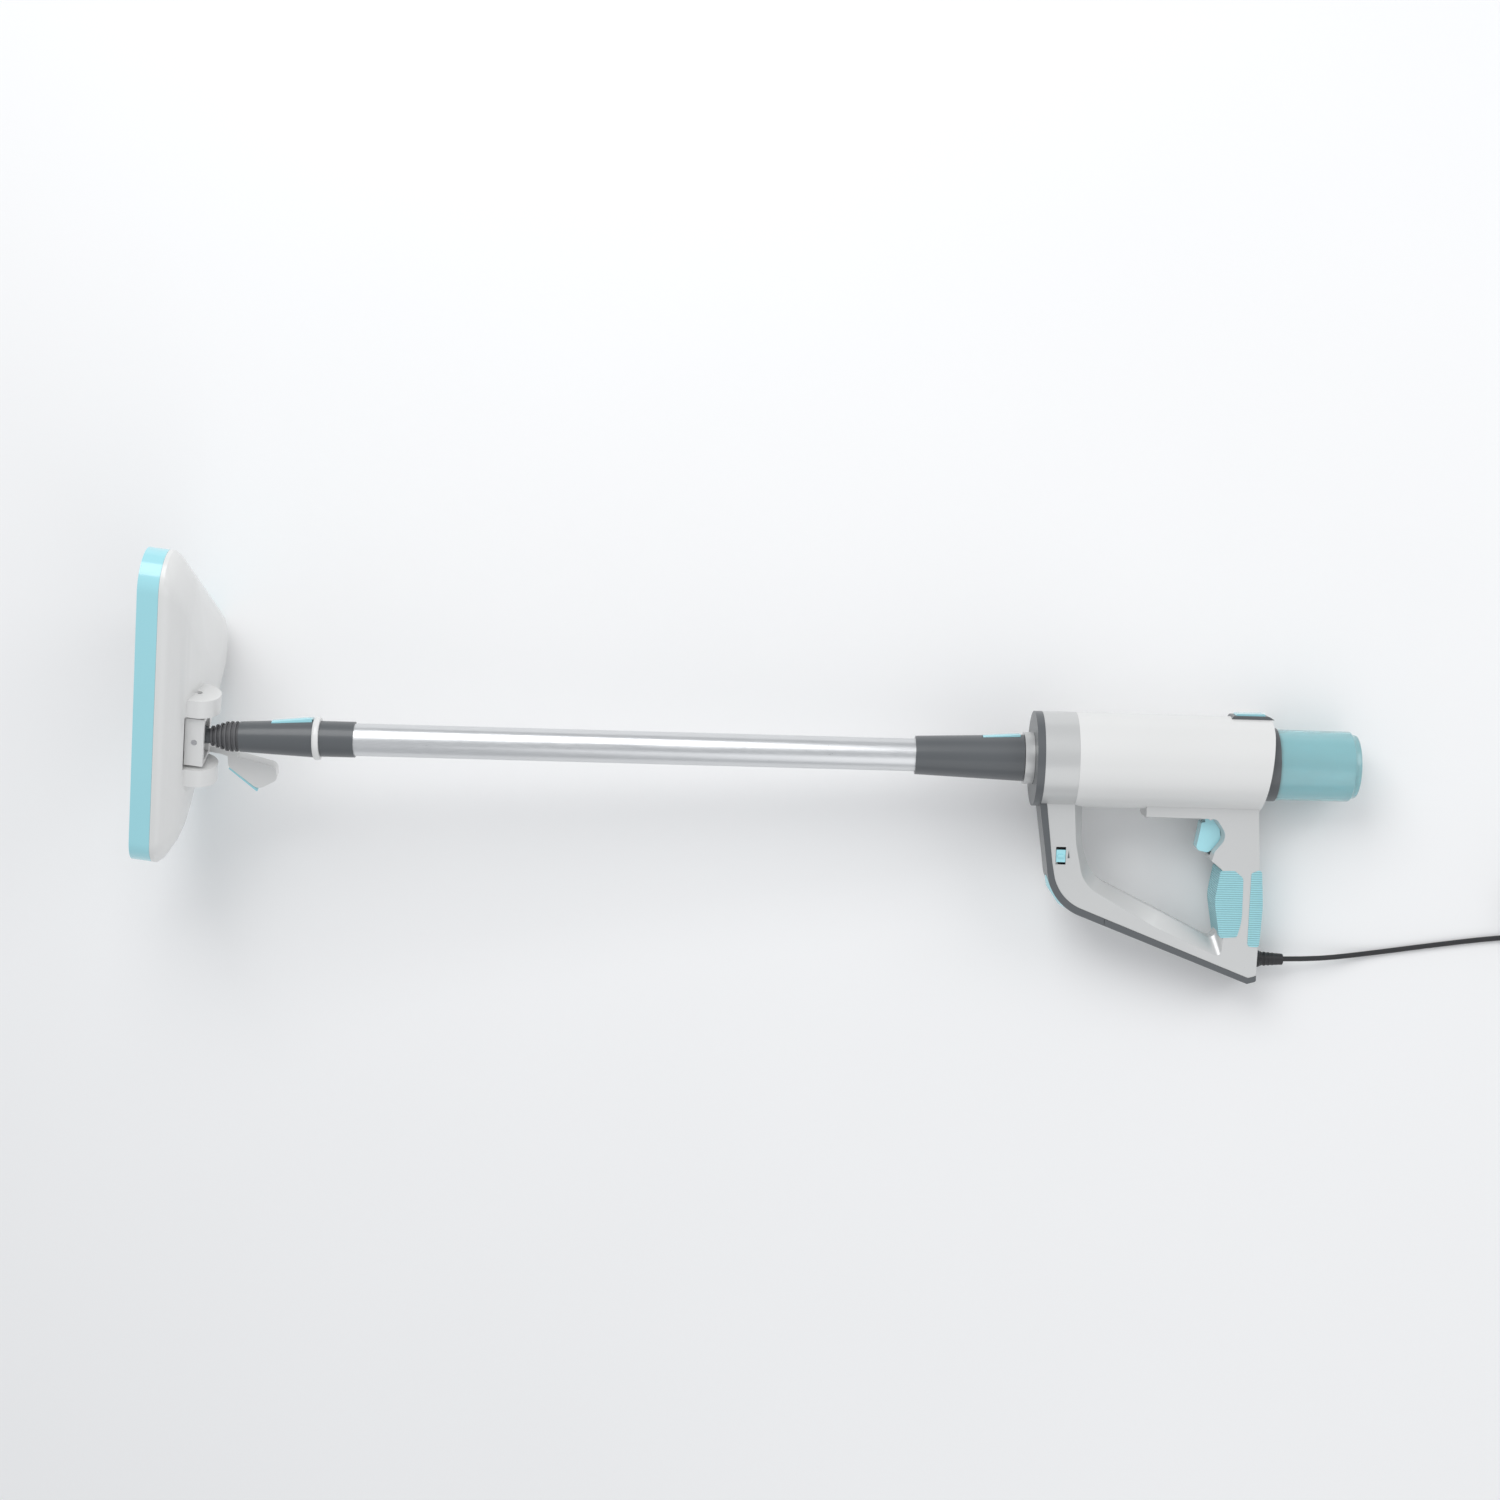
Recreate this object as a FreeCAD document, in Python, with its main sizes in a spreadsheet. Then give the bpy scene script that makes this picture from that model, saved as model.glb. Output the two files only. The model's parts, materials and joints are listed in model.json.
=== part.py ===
import FreeCAD, Part
import math
import os

# Steam mop lying on its side. Every piece is drawn in the mop's own frame: X along the wand
# from the head to the handle, Y towards the top of the handle, Z out of its side. One
# placement, "lying", then lays the whole mop on the floor. Millimetres.

Vector = FreeCAD.Vector
Rotation = FreeCAD.Rotation
Placement = FreeCAD.Placement

doc = FreeCAD.newDocument("SteamMop")
sizes = doc.addObject("Spreadsheet::Sheet", "Sizes")

dimensions = {
    # how the mop lies
    "lieX": -591.04, "lieY": 19.21, "lieZ": 169.36, "lieTilt": 6.445, "lieRoll": 6.99,
    # head
    "baseWidth": 325.7, "plateDepth": 238.1, "baseCorner": 31.9, "tipCorner": 41.3,
    "plateCentre": 60.5, "skirtHeight": 21.0, "skirtWall": 7.0, "coverRise": 31.0,
    "coverWall": 2.6, "soleThick": 6.0, "headX": 18.7, "headY": 38.55,
    "headYaw": -6.46, "headPitch": 1.7, "headRoll": 25.2,
    "earRadius": 21.0, "earInner": 28.0, "earThick": 18.0,
    # swivel
    "pivotX": 68.0, "ringHalf": 25.0, "ringDepth": 16.5, "ringLength": 18.0,
    "windowHalf": 20.4, "windowDepth": 10.8, "lugRadius": 9.0, "lugHalf": 10.5,
    "pinRadius": 3.0, "pinRunning": 0.04, "sideGap": 0.4,
    # neck and wand
    "bellowsStart": 82.0, "neckStart": 110.0, "neckRadius": 14.8, "neckEnd": 181.6,
    "neckEndRadius": 18.4, "neckRing": 21.0, "neckRingEnd": 188.0, "neckSleeve": 17.4,
    "neckSleeveEnd": 221.0, "tubeRadius": 15.9, "tubeWall": 1.4, "tubeStart": 190.0,
    "tubeEnd": 800.0, "connectorStart": 764.0, "connectorEnd": 868.6,
    "connectorRadius": 18.7, "connectorEndRadius": 22.6, "hoseRadius": 4.5,
    # handle
    "collarStart": 869.0, "collarEnd": 878.0, "collarRadius": 25.2, "spigotRadius": 12.0,
    "spigotStart": 812.0, "barrelRadius": 46.0, "barrelWall": 2.5, "plateStart": 878.2,
    "ringStart": 885.6, "coverStart": 918.4, "coverEnd": 1105.5, "coverSlant": 6.0,
    "frameHalf": 20.0, "frameWall": 3.2, "bevelDepth": 11.0, "trimHalf": 20.6, "gripHalf": 20.5,
    "triggerHalf": 9.0, "triggerSlot": 9.5, "triggerPinX": 1051.0, "triggerPinY": -52.0,
    # tank
    "tankRadius": 34.4, "tankWall": 2.0, "tankStart": 1112.4, "tankEnd": 1184.0,
    "tankLip": 1191.5, "neckPort": 11.0, "collarTankRadius": 35.6,
    # cord
    "cordDiameter": 5.0, "coilMiddle": 60.0, "coilSection": 25.0,
}
for row, (alias, value) in enumerate(dimensions.items(), start=1):
    sizes.set("A%d" % row, alias)
    sizes.set("B%d" % row, str(value))
    sizes.setAlias("B%d" % row, alias)
doc.recompute()


def size(alias):
    return float(sizes.get(alias))


lying = Placement(Vector(size("lieX"), size("lieY"), size("lieZ")),
                  Rotation(0, size("lieTilt"), size("lieRoll")))
unroll = Placement(Vector(), Rotation(Vector(1, 0, 0), -size("lieRoll")))
headPlace = unroll.multiply(Placement(Vector(size("headX"), size("headY"), 0),
                                      Rotation(size("headYaw"), size("headPitch"), size("headRoll"))))
pivot = Vector(size("pivotX"), 0, 0)
pivotInHead = headPlace.inverse().multVec(pivot)

# The swivel has two crossed axes: along the head's width, and square to that and the wand.
widthAxis = headPlace.Rotation.multVec(Vector(0, 1, 0))
crossAxis = Vector(1, 0, 0).cross(widthAxis).normalize()
yokeFacing = widthAxis.cross(crossAxis)
yokePlace = Placement(pivot, Rotation(yokeFacing, widthAxis, crossAxis, "ZXY"))
alongX = Rotation(Vector(0, 1, 0), 90)
alongY = Rotation(Vector(1, 0, 0), -90)
subparts = []


def bind(thing, **expressions):
    for name, text in expressions.items():
        thing.setExpression(name.replace("_", "."), text)
    return thing


def cells(text):
    # turns alias names in a formula into references to the sheet
    for alias in sorted(dimensions, key=len, reverse=True):
        text = text.replace("<" + alias + ">", "Sizes." + alias)
    return text


def cylinder(radius, length, at=Vector(), turn=Rotation(), **more):
    piece = doc.addObject("Part::Cylinder", "Cylinder")
    piece.Placement = Placement(at, turn)
    bind(piece, Radius=cells(radius), Height=cells(length), **more)
    return piece


def rodX(radius, start, end, y=0.0, z=0.0):
    # a round bar along the wand from one X to another
    piece = cylinder(radius, "(%s) - (%s)" % (end, start), Vector(0, y, z), alongX)
    return bind(piece, Placement_Base_x=cells(start))


def coneX(startRadius, endRadius, start, end, y=0.0):
    piece = doc.addObject("Part::Cone", "Cone")
    piece.Placement = Placement(Vector(0, y, 0), alongX)
    return bind(piece, Radius1=cells(startRadius), Radius2=cells(endRadius),
                Height=cells("(%s) - (%s)" % (end, start)), Placement_Base_x=cells(start))


def box(low, high, place=Placement()):
    piece = doc.addObject("Part::Box", "Box")
    piece.Length, piece.Width, piece.Height = [high[k] - low[k] for k in range(3)]
    piece.Placement = place.multiply(Placement(Vector(*low), Rotation()))
    return piece


def cut(base, *tools):
    for tool in tools:
        piece = doc.addObject("Part::Cut", "Cut")
        piece.Base, piece.Tool = base, tool
        base = piece
    return base


def fuse(*pieces):
    piece = doc.addObject("Part::MultiFuse", "Fuse")
    piece.Shapes = list(pieces)
    return piece


def common(first, second):
    piece = doc.addObject("Part::Common", "Common")
    piece.Base, piece.Tool = first, second
    return piece


def tubeX(outer, inner, start, end, y=0.0):
    return cut(rodX(outer, start, end, y), rodX(inner, "(%s) - 1" % start, "(%s) + 1" % end, y))


def outline(corners):
    # a closed outline of (x, y, radius) corners as lines and tangent arcs
    edges = []
    count = len(corners)
    starts, ends, middles = [], [], []
    for k in range(count):
        before, here, after = [Vector(c[0], c[1], 0) for c in
                               (corners[k - 1], corners[k], corners[(k + 1) % count])]
        radius = corners[k][2]
        back = (before - here).normalize()
        ahead = (after - here).normalize()
        if radius <= 0:
            starts.append(here)
            ends.append(here)
            middles.append(None)
            continue
        half = back.getAngle(ahead) / 2
        reach = radius / math.tan(half)
        bisector = (back + ahead).normalize()
        centre = here + bisector * (radius / math.sin(half))
        starts.append(here + back * reach)
        ends.append(here + ahead * reach)
        middles.append(centre - bisector * radius)
    for k in range(count):
        side = Vector(*corners[(k + 1) % count][:2]) - Vector(*corners[k][:2])
        if (starts[(k + 1) % count] - ends[k]).dot(side) < -1e-6:
            raise RuntimeError("corner radii too large after %s" % (corners[k],))
        if middles[k] is not None:
            edges.append(Part.Arc(starts[k], middles[k], ends[k]))
        following = starts[(k + 1) % count]
        if (following - ends[k]).Length > 1e-6:
            edges.append(Part.LineSegment(ends[k], following))
    return edges


def sketch(corners, place=Placement()):
    drawn = doc.addObject("Sketcher::SketchObject", "Outline")
    drawn.Placement = place
    for edge in outline(corners):
        drawn.addGeometry(edge, False)
    return drawn


def originPlane(body, role):
    return [f for f in body.Origin.OriginFeatures if f.Role == role][0]


def slab(corners, low, high, place=Placement(), label="Slab"):
    # an outline in XY padded from z = low to z = high, as a body
    body = doc.addObject("PartDesign::Body", label)
    drawn = body.newObject("Sketcher::SketchObject", "Outline")
    drawn.AttachmentSupport = [(originPlane(body, "XY_Plane"), "")]
    drawn.MapMode = "FlatFace"
    drawn.AttachmentOffset = Placement(Vector(0, 0, 0), Rotation())
    bind(drawn, AttachmentOffset_Base_z=cells(str(low)))
    for edge in outline(corners):
        drawn.addGeometry(edge, False)
    pad = body.newObject("PartDesign::Pad", "Pad")
    pad.Profile = drawn
    bind(pad, Length=cells("(%s) - (%s)" % (high, low)))
    body.Placement = place
    return body


def turned(corners, place=Placement()):
    # a half profile of (x, r, radius) corners turned about X, as a body
    body = doc.addObject("PartDesign::Body", "Turned")
    drawn = body.newObject("Sketcher::SketchObject", "Profile")
    drawn.AttachmentSupport = [(originPlane(body, "XY_Plane"), "")]
    drawn.MapMode = "FlatFace"
    for edge in outline(corners):
        drawn.addGeometry(edge, False)
    spun = body.newObject("PartDesign::Revolution", "Revolution")
    spun.Profile = drawn
    spun.ReferenceAxis = (drawn, ["H_Axis"])
    spun.Angle = 360
    body.Placement = place
    return body


def loft(sections, ruled=False):
    piece = doc.addObject("Part::Loft", "Loft")
    piece.Sections = sections
    piece.Solid = True
    piece.Ruled = ruled
    return piece


def keep(label, piece, place=lying):
    # the finished sub-part, in its place on the floor
    if piece.ExpressionEngine:
        piece.recompute()
        piece.setExpression("Placement.Base.x", None)
    piece.Placement = place.multiply(piece.Placement)
    piece.Label = label
    subparts.append(piece)
    return piece


def keepHead(label, piece):
    return keep(label, piece, lying.multiply(headPlace))


def keepYoke(label, piece):
    return keep(label, piece, lying.multiply(yokePlace))


def plateOutline(scale, inset=0.0):
    # the head's rounded triangle, drawn with x across the height and y along the width: the
    # outline round two corner circles and a tip circle, so its sharp corners are worked out
    middle = 25.2
    half = size("baseWidth") / 2 * scale - inset
    base = middle - (size("plateCentre") + middle) * scale + inset
    tip = middle + (size("plateDepth") - size("plateCentre") - middle) * scale - inset
    cornerR = max(size("baseCorner") * scale - inset, 3)
    tipR = max(size("tipCorner") * scale - inset, 3)
    corner, apex = Vector(base + cornerR, half - cornerR, 0), Vector(tip - tipR, 0, 0)
    along = apex - corner
    square = Vector(-along.y, along.x, 0)
    if square.y < 0:
        square = square * -1
    lean = cornerR - tipR
    normal = (along * lean + square * math.sqrt(along.Length ** 2 - lean ** 2)) * (1 / along.Length ** 2)
    reach = normal.dot(corner) + cornerR
    width = (reach - normal.x * base) / normal.y
    return [(base, -width, cornerR), (reach / normal.x, 0, tipR), (base, width, cornerR)]


# the sketch plane's x runs against the head's depth, y along its width, and z up from the sole
platePlace = Placement(Vector(), Rotation(Vector(0, 0, -1), Vector(0, 1, 0), Vector(1, 0, 0), "ZXY"))


def plateAt(height):
    return Placement(Vector(height, 0, 0), platePlace.Rotation)


def buildHead():
    skirtHeight, wall = size("skirtHeight"), size("skirtWall")
    skirt = cut(slab(plateOutline(1), "1.2", "<skirtHeight>", platePlace),
                slab(plateOutline(1, wall), "0", "<skirtHeight> + 1", platePlace))
    keepHead("head_skirt", skirt)

    sole = slab(plateOutline(1, wall + 0.15), "0", "<soleThick>", platePlace)
    holes = []
    for across, depth in ((-46, 20), (0, 28), (46, 20), (-30, -20), (30, -20), (0, -62)):
        holes.append(cylinder("3", "20", Vector(-5, across, depth), alongX))
    channel = cut(slab(plateOutline(0.62), "-1", "1.6", platePlace),
                  slab(plateOutline(0.55), "-2", "2.6", platePlace))
    keepHead("sole_plate", cut(sole, channel, *holes))

    strips = []
    for across, turn in ((-84, 0), (84, 0)):
        strips.append(box((-1.2, across - 18, 6), (-0.05, across + 18, 36)))
    strips.append(box((-1.2, -16, -112), (-0.05, 16, -82)))
    keepHead("pad_grip_strips", fuse(*strips))

    rise = size("coverRise")
    levels = ((1.0, 0.15), (1.0, 4.2), (0.97, 0.32 * rise), (0.93, 0.44 * rise), (0.87, 0.61 * rise),
              (0.8, 0.74 * rise), (0.7, 0.83 * rise), (0.55, 0.9 * rise), (0.42, 0.96 * rise), (0.3, rise))
    outer = loft([sketch(plateOutline(f), plateAt(skirtHeight + up)) for f, up in levels], True)
    thin = size("coverWall")
    inner = loft([sketch(plateOutline(f, 3.2), plateAt(skirtHeight + up - thin))
                  for f, up in levels], True)
    across, depth, height = pivotInHead.y, pivotInHead.z, pivotInHead.x
    earRadius, earInner = size("earRadius"), size("earInner")
    earThick = size("earThick")
    ears = []
    for side in (-1, 1):
        low = across + (earInner if side > 0 else -earInner - earThick)
        ear = cylinder("<earRadius>", "<earThick>", Vector(height, low, depth), alongY)
        foot = box((28, low, depth - earRadius), (height, low + earThick, depth + earRadius))
        ears.append(fuse(ear, foot))
    floorOfRecess = height - 25.0
    recess = common(cylinder("25", "56", Vector(height, across - 28, depth), alongY),
                    box((floorOfRecess, across - 28, depth - 30), (height + 30, across + 28, depth + 30)))
    bore = cylinder("<pinRadius> + <pinRunning>", "120", Vector(height, across - 60, depth), alongY)
    well = cylinder("27.6", "56.8", Vector(height, across - 28.4, depth), alongY)
    shell = fuse(cut(outer, inner), *ears, common(well, outer))
    keepHead("head_cover", cut(shell, recess, bore))

    pins = []
    for side in (-1, 1):
        low = across + (14 if side > 0 else -44)
        pins.append(cylinder("<pinRadius>", "30", Vector(height, low, depth), alongY))
    return pins


def buildSwivel(widthPins):
    half, depth, length = size("ringHalf"), size("ringDepth"), size("ringLength")
    ring = box((-length / 2, -half, -depth), (length / 2, half, depth))
    window = box((-length, -size("windowHalf"), -size("windowDepth")),
                 (length, size("windowHalf"), size("windowDepth")))
    crossBore = cylinder("<pinRadius> + 0.02", "60", Vector(0, 0, -30))
    widthBore = cylinder("<pinRadius> + 0.02", "80", Vector(0, -40, 0), alongY)
    # the heel reaches out beside the neck, clear of its swing
    arm = slab([(4, -19, 0), (36, -21, 3), (36, -30, 3), (20, -26, 2), (4, -24.9, 0)], "-31", "-18.4")
    heel = slab([(26, -25, 3), (74, -33, 7), (76, -47, 6), (58, -60, 9), (28, -39, 4)],
                "-31", "-18.4")
    bridge = box((0.5, -24.9, -31), (8.9, -18, -16))
    keepYoke("yoke", cut(fuse(ring, bridge, arm, heel), window, crossBore, widthBore))
    strip = slab([(29, -40.2, 0), (58, -61.2, 1), (57, -63, 1), (28, -41.8, 0)], "-30", "-19.4")
    keepYoke("heel_strip", strip)
    keepYoke("cross_pin", cylinder("<pinRadius>", "2 * <ringDepth>", Vector(0, 0, -depth)))
    pins = fuse(*widthPins)
    keep("yoke_pins", pins, lying.multiply(headPlace))

    # the lug turns about the cross pin, and its shank runs up the wand
    lugDisc = cylinder("<lugRadius>", "2 * <lugHalf>", Vector(0, 0, -size("lugHalf")))
    lugDisc.Placement = yokePlace.multiply(lugDisc.Placement)
    shank = rodX("7.5", "<pivotX> + 2", "<neckStart> + 8")
    lugBore = cylinder("<pinRadius> + <pinRunning>", "60", Vector(0, 0, -30))
    lugBore.Placement = yokePlace.multiply(lugBore.Placement)
    duct = rodX("2.6", "<pivotX> + 8", "<neckStart> + 12")
    keep("neck_lug", cut(fuse(lugDisc, shank), lugBore, duct))


def buildNeck():
    start, end = size("bellowsStart"), size("neckStart")
    ribs = 6
    pitch = (end - start) / ribs
    profile = [(start, 7.7, 0), (start, 9.4, 0)]
    for k in range(ribs):
        low = start + k * pitch
        grow = min(9.4 + 1.5 * k, 14.3)
        profile += [(low + 0.3, grow + 0.5, 0), (low + 0.42 * pitch, grow + 0.5, 0),
                    (low + 0.42 * pitch, grow - 1.2, 0), (low + 0.98 * pitch, grow - 1.2, 0)]
    profile += [(end - 0.02, 13.2, 0), (end - 0.02, 7.7, 0)]
    keep("neck_bellows", turned(profile))

    shell = cut(coneX("<neckRadius>", "<neckEndRadius>", "<neckStart>", "<neckEnd>"),
                rodX("7.6", "<neckStart> - 1", "<neckStart> + 9"),
                rodX("12.2", "<neckStart> + 9", "<neckEnd> + 1"))
    pocket = box((140.6, 11, -7.4), (180.4, 24, 7.4))
    keep("neck_shell", cut(shell, pocket))
    keep("neck_button", common(box((141, 12.6, -7), (180, 20.4, 7)),
                               coneX("16.6", "21.5", "135", "183")))
    keep("neck_ring", cut(turned([(181.7, 16.1, 0), (181.7, 20, 1.4), (184, 21, 1.4), (188, 20.4, 1.4),
                                  (188, 16.1, 0)])))
    keep("neck_sleeve", tubeX("<neckSleeve>", "<tubeRadius> + 0.05", "188.1", "<neckSleeveEnd>"))
    keep("neck_seal", tubeX("12.1", "<hoseRadius> + 0.1", "<neckStart> + 12", "<neckStart> + 26"))


def buildWand():
    keep("wand_tube", tubeX("<tubeRadius>", "<tubeRadius> - <tubeWall>", "<tubeStart>", "<tubeEnd>"))
    keep("steam_hose", tubeX("<hoseRadius>", "<hoseRadius> - 1.5", "<neckStart> + 12", "<spigotStart> - 2"))
    shell = cut(coneX("<connectorRadius>", "<connectorEndRadius>", "<connectorStart>", "<connectorEnd>"),
                rodX("<tubeRadius>", "<connectorStart> - 1", "<tubeEnd> + 0.1"),
                rodX("<spigotRadius> + 0.05", "<tubeEnd>", "<connectorEnd> + 1"))
    pocket = box((828.6, 12.6, -7.4), (865.4, 30, 7.4))
    keep("wand_connector", cut(shell, pocket))
    keep("wand_button", common(box((829, 14.1, -7), (865, 23.5, 7)), coneX("20.6", "24.2", "820", "868")))


# the handle's outline, seen from its side, as (x, y, radius) corners
frameOuter = [(885.7, 20, 0), (885.7, 5, 20), (899, -98, 60), (906, -134.5, 44), (1094, -207.2, 2),
              (1101.4, -205, 3), (1102.8, -140, 120), (1096.5, -52, 30), (1096.2, -20, 0)]
frameOpening = [(927, -30, 0), (927.6, -78, 60), (938, -113, 42), (1005, -145, 160), (1060, -172.5, 7),
                (1064, -160, 16), (1060.5, -130, 60), (1065, -102, 12), (1051.5, -92, 3),
                (1054, -84, 5), (1065.5, -69, 12), (1054, -53.6, 7), (988, -53.6, 1), (988, -30, 0)]
frameLip = [(917.5, -30, 0), (921.3, -80, 60), (930, -120, 34), (1003, -160.5, 160), (1066, -188, 5),
            (1068, -170, 6), (1062.5, -131, 60), (1067, -103, 12), (1053, -94, 3),
            (1055.5, -84, 5), (1067.5, -69, 12), (1056, -52, 7), (985, -51.5, 1), (985, -30, 0)]
trimOuter = [(878.4, 30, 0), (878.4, 0, 60), (893, -96, 60), (899, -139.5, 50), (1093, -213, 1),
             (1101.6, -210.5, 2), (1101.6, -205.2, 0), (1094, -207.4, 2), (906, -134.7, 44.2),
             (898.8, -98, 60), (885.5, 5, 20), (885.5, 30, 0)]
gripFront = [(1062.2, -102.6, 1), (1076, -102.2, 3), (1084.4, -109, 6), (1085, -150, 60), (1081, -167, 3),
             (1064, -168.4, 3), (1057.6, -132, 44)]
gripBack = [(1092, -104, 3), (1102, -100, 3), (1104.6, -136, 120), (1103, -176.5, 3), (1091.6, -176, 3)]


def barrel(inner=0.0):
    return rodX("<barrelRadius> - %g" % inner, "<plateStart>", "<coverEnd> + 12")


def halfFrame(side):
    # one half of the handle frame: the barrel's silver end ring and the open loop below it
    half, bevel = size("frameHalf"), size("bevelDepth")
    low, high = (0.0, half) if side > 0 else (-half, 0.0)
    loop = cut(slab(frameOuter, str(low), str(high)), barrel(), slab(frameOpening, "-30", "30"))
    lipZ = side * (half + 0.01)
    startZ = side * (half - bevel)
    loop = cut(loop, loft([sketch(frameOpening, Placement(Vector(0, 0, startZ), Rotation())),
                           sketch(frameLip, Placement(Vector(0, 0, lipZ), Rotation()))], True))
    # the frame is hollow: a cavity inside each straight bar
    deep = half - size("frameWall")
    cavityLow, cavityHigh = (-1.0, deep) if side > 0 else (-deep, 1.0)
    bars = [[(893, -60, 0), (914.5, -60, 0), (918, -84, 30), (924, -112, 4), (913, -119, 4), (903, -96, 30)],
            [(925, -134, 1), (1000, -162.5, 20), (1060, -187.8, 0), (1062, -190.6, 0), (934, -141.5, 1)],
            [(1071, -62, 3), (1092.5, -62, 3), (1096, -140, 40), (1088, -183, 8), (1073, -176, 4), (1072, -120, 8)]]
    for bar in bars:
        loop = cut(loop, slab(bar, str(cavityLow), str(cavityHigh)))
    ring = cut(rodX("<barrelRadius>", "<ringStart> + 0.1", "<coverStart> - 0.1"),
               rodX("<barrelRadius> - <barrelWall>", "<ringStart> - 1", "<coverStart> + 1"))
    keepHalf = box((860, -60, 0), (960, 60, 60)) if side > 0 else box((860, -60, -60), (960, 60, 0))
    ring = common(ring, keepHalf)
    slot = slab([(1040, -56, 3), (1041, -44, 1), (1071, -44, 3), (1070.6, -88, 3), (1050, -89, 1), (1051, -58, 0)],
                "-<triggerSlot>", "<triggerSlot>")
    dialWell = cylinder("19.9", "16", Vector(907, -130, 0) + Vector(-0.824, -0.567, 0) * -6.5,
                        Rotation(Vector(0, 0, 1), Vector(-0.824, -0.567, 0)))
    sliderWell = box((902.2, -100.4, 16.6), (911.9, -83.2, 30))
    pin = cylinder("2", "30", Vector(size("triggerPinX"), size("triggerPinY"), -15))
    cordHole = rodX("2.6", "1100", "1110", -191.7)
    pads = [slab(gripFront, "-<gripHalf>", "<gripHalf>"), slab(gripBack, "-<gripHalf>", "<gripHalf>")]
    return cut(fuse(ring, loop), slot, dialWell, sliderWell, pin, cordHole, *pads)


def buildHandle():
    keep("frame_shell_near", halfFrame(1))
    keep("frame_shell_far", halfFrame(-1))

    body = cut(rodX("<barrelRadius>", "<coverStart>", "<coverEnd>"), box((1071.6, 41, -8.4), (1100.4, 60, 8.4)),
               rodX("<barrelRadius> - <barrelWall>", "<coverStart> - 1", "<coverEnd> + 1"))
    slant = box((0, -90, -60), (60, 90, 60), Placement(Vector(size("coverEnd") - 3.5, 0, 0),
                                                        Rotation(-size("coverSlant"), 0, 0)))
    keep("body_cover", cut(body, slant))
    bulkhead = cut(rodX("<barrelRadius> - <barrelWall> - 0.1", "1086", "1092"),
                   rodX("<neckPort> + 2", "1080", "1100"))
    collar = cut(rodX("<collarTankRadius>", "1092", "<tankStart> - 0.2"),
                 rodX("<tankRadius> - 4", "1094.5", "<tankStart> + 1"), rodX("<neckPort> + 2", "1080", "1100"))
    keep("tank_collar", fuse(bulkhead, collar))

    front = cut(rodX("<barrelRadius>", "<plateStart>", "<ringStart>"),
                rodX("<spigotRadius> - 2", "<plateStart> - 1", "<ringStart> + 1"))
    band = slab(trimOuter, "-<trimHalf>", "<trimHalf>")
    wellAxis = Vector(-0.824, -0.567, 0)
    dialHole = cylinder("19.9", "30", Vector(907, -130, 0) + wellAxis * -6.5,
                        Rotation(Vector(0, 0, 1), wellAxis))
    split = box((951.6, -260, -40), (1200, -100, 40))
    upper = cut(fuse(front, cut(band, dialHole, rodX("<barrelRadius> + 0.1", "<ringStart>", "<coverStart>"))), split)
    keep("front_trim", upper)
    lower = common(slab(trimOuter, "-<trimHalf>", "<trimHalf>"), box((952, -260, -40), (1200, -100, 40)))
    keep("lower_trim", lower)
    keep("nozzle_collar", tubeX("<collarRadius>", "<spigotRadius> + 0.1", "<collarStart>", "<collarEnd>"))
    keep("nozzle_spigot", cut(rodX("<spigotRadius>", "<spigotStart>", "<plateStart> - 0.1"),
                              rodX("<hoseRadius>", "<spigotStart> - 1", "<plateStart> + 1")))

    keep("grip_front", slab(gripFront, "-<gripHalf>", "<gripHalf>"))
    keep("grip_back", slab(gripBack, "-<gripHalf>", "<gripHalf>"))

    # release latch over the tank's collar
    latch = cut(slab([(1064, 40, 2), (1069, 47.6, 2), (1103, 47.6, 5), (1109, 44, 3), (1109, 20, 0), (1064, 20, 0)],
                     "-12", "12"), barrel(), rodX("<collarTankRadius> + 0.05", "1090", "1130"),
                box((1071.6, 44, -8.4), (1100.4, 60, 8.4)))
    keep("latch_housing", latch)
    keep("release_button", slab([(1072, 45.4, 0), (1072, 49.2, 1.5), (1100, 49.6, 1.5), (1100, 45.4, 0)],
                                "-8", "8"))
    buildWorkings()


def buildWorkings():
    # sealed inside the barrel: heater, pump, thermostat, board and their pipes
    keep("heater_block", cut(rodX("24", "932", "1000", 4), rodX("3", "930", "1002", 4)))
    keep("steam_pipe", rodX("3", "<ringStart> + 2", "931.9", 0))
    keep("water_pump", rodX("17", "1012", "1052", 12))
    keep("water_pipe", rodX("3", "1052.1", "1085.9", 12))
    keep("pump_pipe", rodX("3", "1000.1", "1011.9", 8))
    keep("thermostat", cylinder("7", "6", Vector(966, 28.1, 0), alongY))
    keep("control_board", box((1008, -26, -24), (1070, -24.4, 24)))
    keep("micro_switch", box((1076, -84, -7), (1088, -66, 7)))


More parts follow.
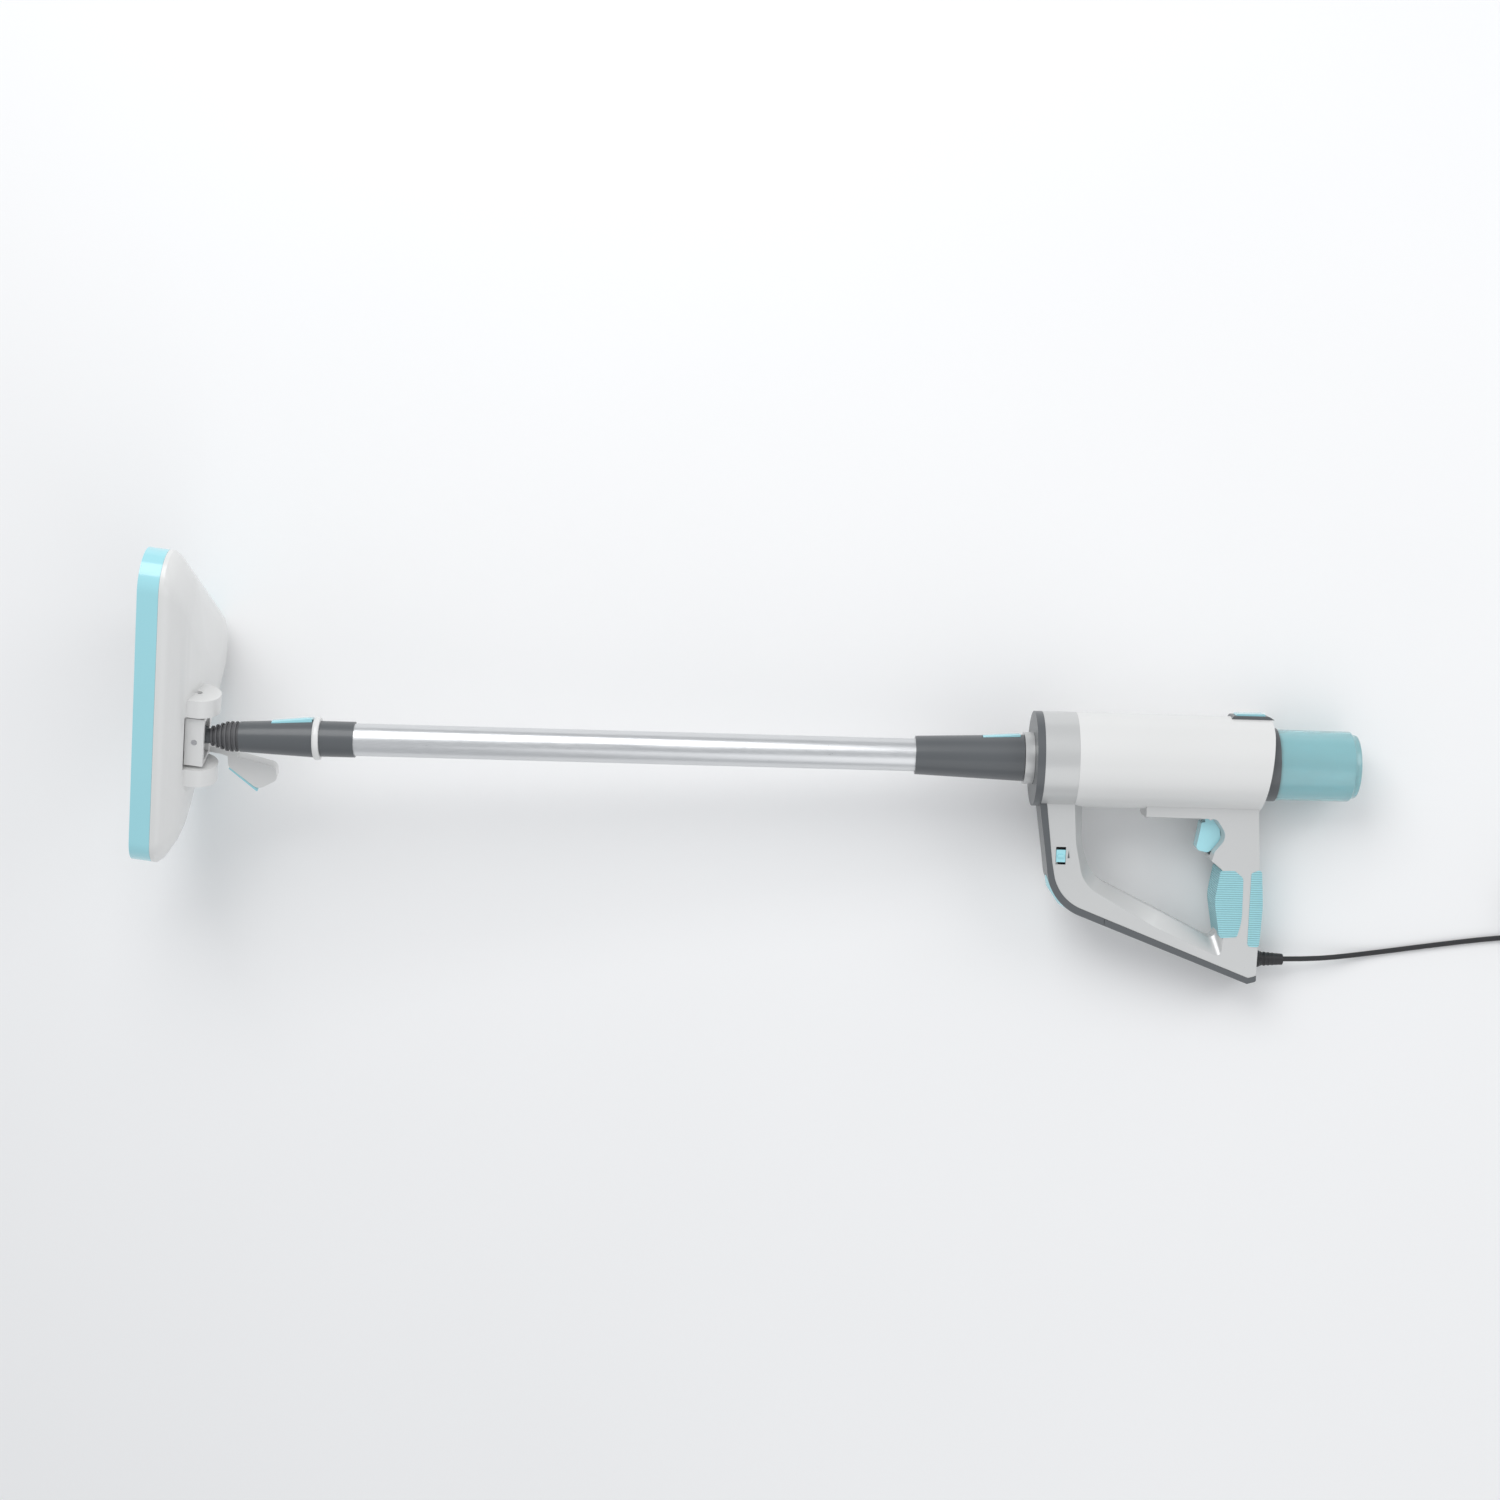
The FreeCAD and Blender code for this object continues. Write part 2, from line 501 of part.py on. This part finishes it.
def buildControls():
    triggerBody = slab([(1043.4, -57, 2), (1042.6, -64, 5), (1039.2, -84.2, 4), (1051, -86.6, 4),
                        (1063.2, -76, 10), (1060.6, -57, 4)], "-<triggerHalf>", "<triggerHalf>")
    boss = slab([(1047, -58, 0), (1046.6, -49.6, 3), (1055.4, -49.6, 3), (1057, -58, 0)],
                "-<triggerHalf>", "<triggerHalf>")
    bore = cylinder("2.04", "40", Vector(size("triggerPinX"), size("triggerPinY"), -20))
    keep("trigger", cut(fuse(triggerBody, boss), bore))
    keep("trigger_pin", cylinder("2", "30", Vector(size("triggerPinX"), size("triggerPinY"), -15)))

    axis = Vector(-0.824, -0.567, 0)
    facing = Rotation(Vector(0, 0, 1), axis)
    middle = Vector(907, -130, 0)
    cap = cylinder("19.4", "9", middle + axis * -3.4, facing)
    dome = doc.addObject("Part::Sphere", "Dome")
    dome.Radius = 34
    dome.Placement = Placement(middle + axis * (7.4 - 34), Rotation())
    keep("power_button", common(cap, dome))
    keep("steam_slider", fuse(box((902.6, -98, 17.2), (911.5, -86, 20.4)),
                              box((904, -93.4, 20.3), (910, -90.6, 21.6))))


def buildTank():
    profile = [(1112.4, 0, 0), (1112.4, 34.4, 0), (1184, 34.0, 1), (1185.4, 31.6, 1), (1190.6, 30.6, 2),
               (1191.4, 27, 2), (1191.4, 0, 0)]
    shell = turned(profile)
    hollow = cut(rodX("<tankRadius> - 2.2", "1114.6", "1184"))
    port = cut(rodX("<neckPort>", "1098", "1112.6"), rodX("<neckPort> - 2.5", "1097", "1116"))
    keep("water_tank", cut(fuse(cut(shell, hollow), port), rodX("<neckPort> - 2.5", "1110", "1116")))
    keep("tank_valve", rodX("<neckPort> - 2.7", "1099", "1110"))


def tubeAlong(points, diameter):
    # straight runs joined by tangent arcs, as large as the runs allow
    edges = []
    here = points[0]
    radii = []
    for before, corner, after in zip(points, points[1:], points[2:]):
        back, ahead = (before - corner), (after - corner)
        run = min(back.Length, ahead.Length)
        half = (math.pi - back.getAngle(ahead)) / 2
        radius = 0.45 * run / math.tan(half)
        back.normalize()
        ahead.normalize()
        reach = 0.45 * run
        first, last = corner + back * reach, corner + ahead * reach
        bisector = (back + ahead).normalize()
        middle = corner + bisector * (radius / math.cos(half) - radius)
        edges.append(Part.LineSegment(here, first).toShape())
        edges.append(Part.Arc(first, middle, last).toShape())
        here = last
        radii.append(round(radius, 1))
    edges.append(Part.LineSegment(here, points[-1]).toShape())
    path = Part.Wire(edges)
    section = Part.Wire([Part.makeCircle(diameter / 2, points[0], points[1] - points[0])])
    tube = path.makePipeShell([section], True, True)
    expected = math.pi * diameter ** 2 / 4 * path.Length
    print("cord run %.1f mm, radii %s, volume ratio %.4f" % (path.Length, radii, tube.Volume / expected))
    return tube


def buildCord():
    # rubber sleeve where the cord leaves the bottom corner of the grip
    cord = size("cordDiameter")
    exitY = -191.7
    sleeve = turned([(1102.9, cord / 2 + 0.02, 0), (1102.9, 8.2, 1.5), (1107, 8.2, 1), (1109, 6.6, 0),
                     (1130.8, 5.4, 0.8), (1130.8, cord / 2 + 0.02, 0)])
    sleeve.Placement = Placement(Vector(0, exitY, 0), Rotation())
    keep("strain_relief", sleeve)

    start = lying.multVec(Vector(1102.9, exitY, 0))
    sleeveEnd = lying.multVec(Vector(1131, exitY, 0))
    low = cord / 2 + 0.1
    coilMiddle, coilSection = size("coilMiddle"), size("coilSection")
    coilCentre = Vector(804.5, -102.4, 0)
    route = [start, start + (sleeveEnd - start) * 1.86, Vector(608, -164.8, low + 0.1),
             Vector(672, -153.9, low), Vector(739.8, -143.3, low), Vector(784.5, -141, low)]
    lead = doc.addObject("Part::Feature", "Lead")
    lead.Shape = tubeAlong(route, cord)
    lead.Label = "cord_lead"
    subparts.append(lead)

    coil = cut(cylinder("(<coilMiddle> + <coilSection>) / 2", "<coilSection>", coilCentre),
               cylinder("(<coilMiddle> - <coilSection>) / 2", "<coilSection> + 2", coilCentre - Vector(0, 0, 1)))
    keep("cord_coil", coil, Placement())

    # the last of the cord, and the plug beside the coil
    plugPlace = Placement(Vector(coilCentre.x + 52, coilCentre.y + 30, 15), Rotation(70, 0, 0))
    tail = doc.addObject("Part::Feature", "Tail")
    tail.Shape = tubeAlong([coilCentre + Vector(36, -10, 15), coilCentre + Vector(44.8, 8, 15),
                            plugPlace.Base], cord)
    tail.Label = "cord_tail"
    subparts.append(tail)
    plug = slab([(0, -13, 5), (34, -17, 6), (34, 17, 6), (0, 13, 5)], "-13", "13")
    pins = [cylinder("2.4", "19", Vector(34, y, 0), alongX) for y in (-9.5, 9.5)]
    keep("plug", plug, plugPlace)
    keep("plug_pins", fuse(*pins), plugPlace)


pinsOfHead = buildHead()
buildSwivel(pinsOfHead)
buildNeck()
buildWand()
buildHandle()
buildControls()
buildTank()
buildCord()
doc.recompute()

failed = [o.Label for o in doc.Objects if "Invalid" in o.State or "Error" in o.State]
if failed:
    raise RuntimeError("failed objects: %s" % failed)
for piece in subparts:
    shape = piece.Shape
    if shape.isNull() or not shape.isValid() or not shape.Solids:
        raise RuntimeError("bad shape: %s" % piece.Label)

os.makedirs("parts", exist_ok=True)
for piece in subparts:
    piece.Shape.exportStep("parts/%s.step" % piece.Label)
    print("%-18s %9.1f mm3  %d solid(s)" % (piece.Label, piece.Shape.Volume, len(piece.Shape.Solids)))
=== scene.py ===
import json
import math
import bmesh
import bpy
from mathutils import Matrix, Vector


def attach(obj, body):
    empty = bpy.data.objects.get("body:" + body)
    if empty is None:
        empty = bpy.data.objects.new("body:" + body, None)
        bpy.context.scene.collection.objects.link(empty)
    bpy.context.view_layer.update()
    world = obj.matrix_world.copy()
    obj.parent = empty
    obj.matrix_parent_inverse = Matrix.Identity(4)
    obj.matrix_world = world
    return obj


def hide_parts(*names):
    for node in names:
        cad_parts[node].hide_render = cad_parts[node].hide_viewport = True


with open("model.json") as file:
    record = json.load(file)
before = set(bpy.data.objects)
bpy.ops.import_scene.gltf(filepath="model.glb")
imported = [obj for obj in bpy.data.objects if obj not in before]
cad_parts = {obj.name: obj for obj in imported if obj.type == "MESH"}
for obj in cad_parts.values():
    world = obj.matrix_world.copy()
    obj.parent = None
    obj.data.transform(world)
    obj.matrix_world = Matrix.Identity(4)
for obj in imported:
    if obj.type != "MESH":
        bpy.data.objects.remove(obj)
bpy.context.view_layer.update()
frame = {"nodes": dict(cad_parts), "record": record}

nodes = frame["nodes"]
print("frame loaded with", len(nodes), "nodes")

# the mop lies on its side: this turns its own X (along the wand), Y and Z into the floor's frame
lie = dict(x=-0.59104, y=0.01921, z=0.16936, tilt=6.445, roll=6.99)
cameraTurn = Matrix.Rotation(math.radians(lie["tilt"]), 4, "Y")
mopTurn = cameraTurn @ Matrix.Rotation(math.radians(lie["roll"]), 4, "X")
mopPlace = Matrix.Translation((lie["x"], lie["y"], lie["z"])) @ mopTurn
unturn = [-math.radians(lie["roll"]), -math.radians(lie["tilt"]), 0]


class Wire:
    # a shader socket that can be added, taken away and multiplied like a number
    def __init__(self, finish, socket):
        self.finish, self.socket = finish, socket

    def sum(self, operation, first, second):
        return self.finish.node("Math", {"operation": operation}, {0: first, 1: second})["Value"]

    def __add__(self, other):
        return self.sum("ADD", self, other)

    def __radd__(self, other):
        return self.sum("ADD", other, self)

    def __sub__(self, other):
        return self.sum("SUBTRACT", self, other)

    def __rsub__(self, other):
        return self.sum("SUBTRACT", other, self)

    def __mul__(self, other):
        return self.sum("MULTIPLY", self, other)

    def __rmul__(self, other):
        return self.sum("MULTIPLY", other, self)


class Finish:
    # one material with its nodes
    def __init__(self, name):
        self.material = bpy.data.materials.new(name)
        self.material.use_nodes = True
        self.tree = self.material.node_tree
        self.shader = self.tree.nodes["Principled BSDF"]
        self.coordinates = self.node("TexCoord")["Object"]

    def put(self, socket, value):
        if isinstance(value, Wire):
            self.tree.links.new(value.socket, socket)
        else:
            socket.default_value = value

    def node(self, kind, settings=None, inputs=None):
        made = self.tree.nodes.new("ShaderNode" + kind)
        for key, value in (settings or {}).items():
            setattr(made, key, value)
        for key, value in (inputs or {}).items():
            self.put(made.inputs[key], value)
        return {out.name: Wire(self, out) for out in made.outputs if out.enabled}

    def mixColour(self, factor, first, second):
        made = self.tree.nodes.new("ShaderNodeMix")
        made.data_type = "RGBA"
        self.put(made.inputs["Factor"], factor)
        for place, value in ((6, first), (7, second)):
            self.put(made.inputs[place], value)
        return Wire(self, made.outputs[2])

    def noise(self, scale, detail=3.0, rough=0.5, vector=None):
        made = self.node("TexNoise", None, {"Vector": vector or self.coordinates, "Scale": scale,
                                            "Detail": detail, "Roughness": rough})
        return made["Fac"] if "Fac" in made else list(made.values())[0]

    def stretched(self, scale, turn=(0, 0, 0)):
        inputs = {"Vector": self.coordinates, "Rotation": turn, "Scale": scale}
        return self.node("Mapping", None, inputs)["Vector"]

    def surface(self, **values):
        for key, value in values.items():
            self.put(self.shader.inputs[key.replace("_", " ")], value)
        return self

    def bump(self, height, strength, distance):
        inputs = {"Height": height, "Strength": strength, "Distance": distance}
        self.put(self.shader.inputs["Normal"], self.node("Bump", None, inputs)["Normal"])
        return self


def shade(colour, factor):
    return (*[min(c * factor, 1) for c in colour[:3]], 1)


def plastic(name, colour, rough, coat=0.0, grain=0.25, grainScale=1600, vary=0.05, sheen=0.0):
    finish = Finish(name)
    broad = finish.noise(7.0, 4.0)
    fine = finish.noise(grainScale, 2.0)
    tone = finish.mixColour(broad, shade(colour, 1 - vary), shade(colour, 1 + vary))
    scuff = finish.noise(90.0, 5.0, 0.7, finish.stretched((1, 3, 3)))
    finish.surface(Base_Color=tone, Roughness=rough + (broad - 0.5) * 0.08 + (scuff - 0.5) * 0.1,
                   Coat_Weight=coat, Coat_Roughness=0.08, Metallic=sheen)
    finish.bump(fine, grain, 0.00005)
    return finish


def brushedTube(name, colour):
    # fine lines drawn along the wand, with a light blotch where hands have been
    finish = Finish(name)
    lines = finish.noise(900.0, 3.0, 0.6, finish.stretched((0.012, 1, 1), unturn))
    smear = finish.noise(14.0, 4.0)
    tone = finish.mixColour(lines, shade(colour, 0.88), shade(colour, 1.08))
    finish.surface(Base_Color=tone, Metallic=1.0, Roughness=0.24 + lines * 0.16 + (smear - 0.5) * 0.1,
                   Anisotropic=0.4)
    finish.bump(lines, 0.22, 0.00004)
    return finish


def metal(name, colour, rough):
    finish = Finish(name)
    grain = finish.noise(500.0, 3.0)
    finish.surface(Base_Color=finish.mixColour(grain, shade(colour, 0.92), shade(colour, 1.05)), Metallic=1.0,
                   Roughness=rough + (grain - 0.5) * 0.12)
    finish.bump(grain, 0.12, 0.00003)
    return finish


def rubber(name, colour, rough):
    finish = Finish(name)
    dust = finish.noise(45.0, 6.0, 0.7)
    skin = finish.noise(2200.0, 2.0)
    finish.surface(Base_Color=finish.mixColour(dust, shade(colour, 0.86), shade(colour, 1.2)),
                   Roughness=rough + (dust - 0.5) * 0.14)
    finish.bump(skin, 0.3, 0.00006)
    return finish


def clearTank(name, colour):
    # moulded clear plastic: tinted, a little cloudy, with faint flow lines round the wall
    finish = Finish(name)
    cloud = finish.noise(11.0, 4.0)
    flow = finish.noise(60.0, 3.0, 0.5, finish.stretched((6, 0.4, 0.4), unturn))
    finish.surface(Base_Color=finish.mixColour(cloud, shade(colour, 0.94), shade(colour, 1.06)),
                   Roughness=0.1 + cloud * 0.08, Transmission_Weight=0.62, IOR=1.45, Coat_Weight=0.35)
    finish.bump(flow, 0.1, 0.0002)
    return finish


def softGrip(name, colour):
    # fine grooves run across the grip; the colour is painted darker in the groove hollows as painted shade
    finish = Finish(name)
    across = finish.node("SeparateXYZ", None, {"Vector": finish.stretched((1, 1, 1), unturn)})["Y"]
    groove = finish.node("Math", {"operation": "SINE"}, {0: across * 2900.0})["Value"] * 0.5 + 0.5
    wear = finish.noise(30.0, 4.0)
    finish.surface(Base_Color=finish.mixColour(groove, shade(colour, 0.72), shade(colour, 1.06)),
                   Roughness=0.48 + (wear - 0.5) * 0.12)
    finish.bump(groove, 0.8, 0.0006)
    return finish


def hookStrip(name, colour):
    finish = Finish(name)
    dots = finish.node("TexVoronoi", None, {"Vector": finish.coordinates, "Scale": 700.0})["Distance"]
    # the colour is painted lighter on the raised hook tops and darker in the hollows between them, as painted
    # highlight and painted shade
    finish.surface(Base_Color=finish.mixColour(dots, shade(colour, 1.2), shade(colour, 0.5)), Roughness=0.85)
    finish.bump(1 - dots, 0.8, 0.0004)
    return finish


finishes = {
    "white": plastic("whitePlastic", (0.74, 0.74, 0.73), 0.32, coat=0.25, grain=0.12, vary=0.015),
    "silver": plastic("silverPlastic", (0.58, 0.585, 0.58), 0.30, coat=0.3, grain=0.25, vary=0.03,
                      sheen=0.35),
    "dark_grey": plastic("darkPlastic", (0.095, 0.103, 0.110), 0.36, coat=0.2, grain=0.35, vary=0.06),
    "aqua": plastic("aquaPlastic", (0.36, 0.72, 0.79), 0.2, coat=0.6, grain=0.05, vary=0.03),
    "clear_aqua": clearTank("clearAqua", (0.52, 0.86, 0.90)),
    "grip": softGrip("softGrip", (0.36, 0.70, 0.76)),
    "bellows": rubber("bellowsRubber", (0.10, 0.10, 0.105), 0.55),
    "aluminium": brushedTube("brushedTube", (0.72, 0.73, 0.74)),
    "steel": metal("steelPin", (0.55, 0.55, 0.56), 0.28),
    "black": rubber("cordRubber", (0.018, 0.018, 0.02), 0.42),
    "inner_plastic": plastic("innerPlastic", (0.6, 0.6, 0.58), 0.5),
    "hose": rubber("hoseRubber", (0.62, 0.62, 0.58), 0.5),
    "board": plastic("boardGreen", (0.04, 0.2, 0.09), 0.45),
    "hook_strip": hookStrip("hookStrip", (0.35, 0.37, 0.38)),
}
slotOf = {part["node"]: part["material_slot"] for part in frame["record"]["subparts"]}
bodyOf = {node: body for body, group in frame["record"]["behaviour"]["bodies"].items() for node in group}


def paint(thing, slot):
    thing.data.materials.clear()
    thing.data.materials.append(finishes[slot].material)


for name, thing in nodes.items():
    for place in range(max(len(thing.data.materials), 1)):
        if len(thing.data.materials):
            thing.data.materials[place] = finishes[slotOf[name]].material
        else:
            thing.data.materials.append(finishes[slotOf[name]].material)
print("finishes made:", len(finishes))


def mopPoint(x, y, z=0.0):
    # a point in the mop's own millimetres
    return mopPlace @ Vector((x / 1000, y / 1000, z / 1000))


def newPiece(name, form, slot, body, stands=()):
    # a finished bmesh becomes an object at the origin that rides on its body
    mesh = bpy.data.meshes.new(name)
    form.to_mesh(mesh)
    form.free()
    piece = bpy.data.objects.new(name, mesh)
    bpy.context.collection.objects.link(piece)
    paint(piece, slot)
    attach(piece, body)
    if stands:
        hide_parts(*stands)
    return piece


shellSizes = dict(join=0.000002, sliver=0.000001, sharp=math.radians(32))


def smoothShell(node):
    # the same shape with soft shading and its real edges kept crisp
    form = bmesh.new()
    form.from_mesh(nodes[node].data)
    bmesh.ops.remove_doubles(form, verts=form.verts, dist=shellSizes["join"])
    bmesh.ops.dissolve_degenerate(form, edges=form.edges, dist=shellSizes["sliver"])
    for face in form.faces:
        face.smooth = True
    for line in form.edges:
        line.smooth = len(line.link_faces) == 2 and line.calc_face_angle(0) < shellSizes["sharp"]
    newPiece(node + "_look", form, slotOf[node], bodyOf[node], (node,))


shells = ["head_skirt", "head_cover", "yoke", "neck_bellows", "neck_shell", "neck_button", "neck_ring",
          "neck_sleeve", "wand_tube", "wand_connector", "wand_button", "frame_shell_near", "frame_shell_far",
          "body_cover", "tank_collar", "front_trim", "lower_trim", "nozzle_collar", "grip_back",
          "latch_housing", "release_button", "trigger", "power_button", "water_tank", "strain_relief",
          "heel_strip", "neck_lug", "steam_slider", "plug", "grip_front"]
for node in shells:
    smoothShell(node)
print("shells shaded")


def turnOnto(axis):
    # turns Z onto an axis of the mop
    return (mopTurn @ Vector(axis).to_4d()).to_3d().to_track_quat("Z", "Y").to_matrix().to_4x4()


reliefSizes = dict(start=1108.5, step=4.1, y=-191.7, count=5, radius=0.0073, narrows=0.05, thick=0.0021,
                   edge=0.0006)
ribForm = bmesh.new()
for k in range(reliefSizes["count"]):
    middle = mopPoint(reliefSizes["start"] + k * reliefSizes["step"], reliefSizes["y"])
    radius = reliefSizes["radius"] * (1 - reliefSizes["narrows"] * k)
    bmesh.ops.create_cone(ribForm, cap_ends=True, segments=36, radius1=radius, radius2=radius,
                          depth=reliefSizes["thick"], matrix=Matrix.Translation(middle) @ turnOnto((1, 0, 0)))
rims = [line for line in ribForm.edges if line.calc_face_angle(0) > 1]
bmesh.ops.bevel(ribForm, geom=rims, offset=reliefSizes["edge"], segments=2, profile=0.5, affect="EDGES",
                material=-1)
newPiece("relief_ribs", ribForm, "black", "handle")

markSizes = dict(x=914.6, y=-91.5, height=0.02, length=0.011, wide=0.0016, thick=0.0003)
markForm = bmesh.new()
tip = bmesh.ops.create_circle(markForm, cap_ends=True, segments=3, radius=0.5)["verts"]
bmesh.ops.scale(markForm, vec=(markSizes["wide"] * 1.4, markSizes["length"] * 0.9, 1), verts=tip)
raised = bmesh.ops.extrude_face_region(markForm, geom=markForm.faces[:])["geom"]
raisedCorners = [item for item in raised if isinstance(item, bmesh.types.BMVert)]
bmesh.ops.translate(markForm, vec=(0, 0, markSizes["thick"]), verts=raisedCorners)
bmesh.ops.recalc_face_normals(markForm, faces=markForm.faces)
markPlace = Matrix.Translation((markSizes["x"] / 1000, markSizes["y"] / 1000, markSizes["height"]))
bmesh.ops.transform(markForm, matrix=mopPlace @ markPlace, verts=markForm.verts)
newPiece("slider_mark", markForm, "dark_grey", "handle")

cordSizes = dict(diameter=0.005, coilX=0.8045, coilY=-0.1024, turns=25, columns=5, firstRadius=0.040,
                 pointsPerTurn=12, level=0.005, column=0.005, firstAngle=-75, cutsCorners=0.975)


def cordRoute():
    start = mopPoint(1102.9, -191.7)
    sleeveEnd = mopPoint(1131, -191.7)
    low = cordSizes["diameter"] / 2 + 0.0001
    points = [start, start + (sleeveEnd - start) * 1.86, Vector((0.608, -0.1648, low + 0.0001)),
              Vector((0.672, -0.1539, low)), Vector((0.7398, -0.1433, low)), Vector((0.7845, -0.141, low))]
    perTurn, columns = cordSizes["pointsPerTurn"], cordSizes["columns"]

    def seat(turn):
        level, column = divmod(min(turn, cordSizes["turns"] - 1), columns)
        column = columns - 1 - column if level % 2 else column
        return cordSizes["firstRadius"] - column * cordSizes["column"], low + level * cordSizes["level"]

    for step in range(cordSizes["turns"] * perTurn - 3):
        turn, part = divmod(step, perTurn)
        radius, height = seat(turn)
        nextRadius, nextHeight = seat(turn + 1)
        move = max(0.0, (part - perTurn + 3) / 3)
        radius += (nextRadius - radius) * move
        height += (nextHeight - height) * move
        angle = math.radians(cordSizes["firstAngle"] + 360 * step / perTurn)
        reach = radius / cordSizes["cutsCorners"]
        points.append(Vector((cordSizes["coilX"] + reach * math.cos(angle),
                              cordSizes["coilY"] + reach * math.sin(angle), height)))
    # over the coil and down to the plug
    for x, y, height in ((-20.3, -5.4, 24.5), (-16.3, -16.3, 27), (-7, -26, 28.3), (8.3, -31, 28.5),
                         (26.9, -27.5, 28.2), (42.5, -16, 25.8), (48.8, 1, 20), (51, 16, 15.8), (52, 30, 15)):
        points.append(Vector((cordSizes["coilX"] + x / 1000, cordSizes["coilY"] + y / 1000, height / 1000)))
    return points


route = cordRoute()
curve = bpy.data.curves.new("mains_cord", "CURVE")
curve.dimensions = "3D"
curve.bevel_depth = cordSizes["diameter"] / 2
curve.bevel_resolution = 3
curve.use_fill_caps = True
spline = curve.splines.new("NURBS")
spline.points.add(len(route) - 1)
for knot, point in zip(spline.points, route):
    knot.co = (*point, 1)
spline.order_u = 3
spline.use_endpoint_u = True
spline.resolution_u = 4
cordPiece = bpy.data.objects.new("mains_cord", curve)
bpy.context.collection.objects.link(cordPiece)
curve.materials.append(finishes["black"].material)
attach(cordPiece, "handle")
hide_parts("cord_lead", "cord_coil", "cord_tail")
print("cord laid")

# pale floor, soft lamps and the camera square to the wand
floorForm = bmesh.new()
bmesh.ops.create_grid(floorForm, x_segments=1, y_segments=1, size=6.0)
floorMesh = bpy.data.meshes.new("floor")
floorForm.to_mesh(floorMesh)
floorForm.free()
floor = bpy.data.objects.new("floor", floorMesh)
bpy.context.collection.objects.link(floor)
floorFinish = Finish("paleFloor")
floorTone = floorFinish.noise(3.0, 2.0)
floorColour = floorFinish.mixColour(floorTone, (0.88, 0.88, 0.88, 1), (0.9, 0.9, 0.9, 1))
floorFinish.surface(Base_Color=floorColour, Roughness=0.6)
floorMesh.materials.append(floorFinish.material)

lamps = {"key": ((-0.5, 1.5, 1.9), 1.6, 26),
         "fill": ((0.9, -1.6, 1.7), 2.0, 8),
         "rim": ((1.9, 0.8, 1.2), 1.0, 7)}
for name, (place, width, power) in lamps.items():
    lamp = bpy.data.objects.new(name, bpy.data.lights.new(name, "AREA"))
    lamp.data.energy, lamp.data.size = power, width
    lamp.location = place
    lamp.rotation_euler = (-Vector(place)).to_track_quat("-Z", "Y").to_euler()
    bpy.context.collection.objects.link(lamp)
world = bpy.data.worlds.new("room")
bpy.context.scene.world = world
world.use_nodes = True
world.node_tree.nodes["Background"].inputs[0].default_value = (0.95, 0.97, 1.0, 1)
world.node_tree.nodes["Background"].inputs[1].default_value = 0.62
bpy.context.scene.view_settings.view_transform = "Standard"

view = dict(x=0.604, y=0.0004, distance=2.328, lens=57.6, roll=1.56)
camera = bpy.data.objects.new("camera", bpy.data.cameras.new("camera"))
camera.data.lens, camera.data.sensor_width = view["lens"], 36
camera.matrix_world = (Matrix.Translation((lie["x"], lie["y"], lie["z"])) @ cameraTurn
                       @ Matrix.Translation((view["x"], view["y"], view["distance"]))
                       @ Matrix.Rotation(math.radians(view["roll"]), 4, "Z"))
camera.data.clip_end = 50
bpy.context.collection.objects.link(camera)
bpy.context.scene.camera = camera
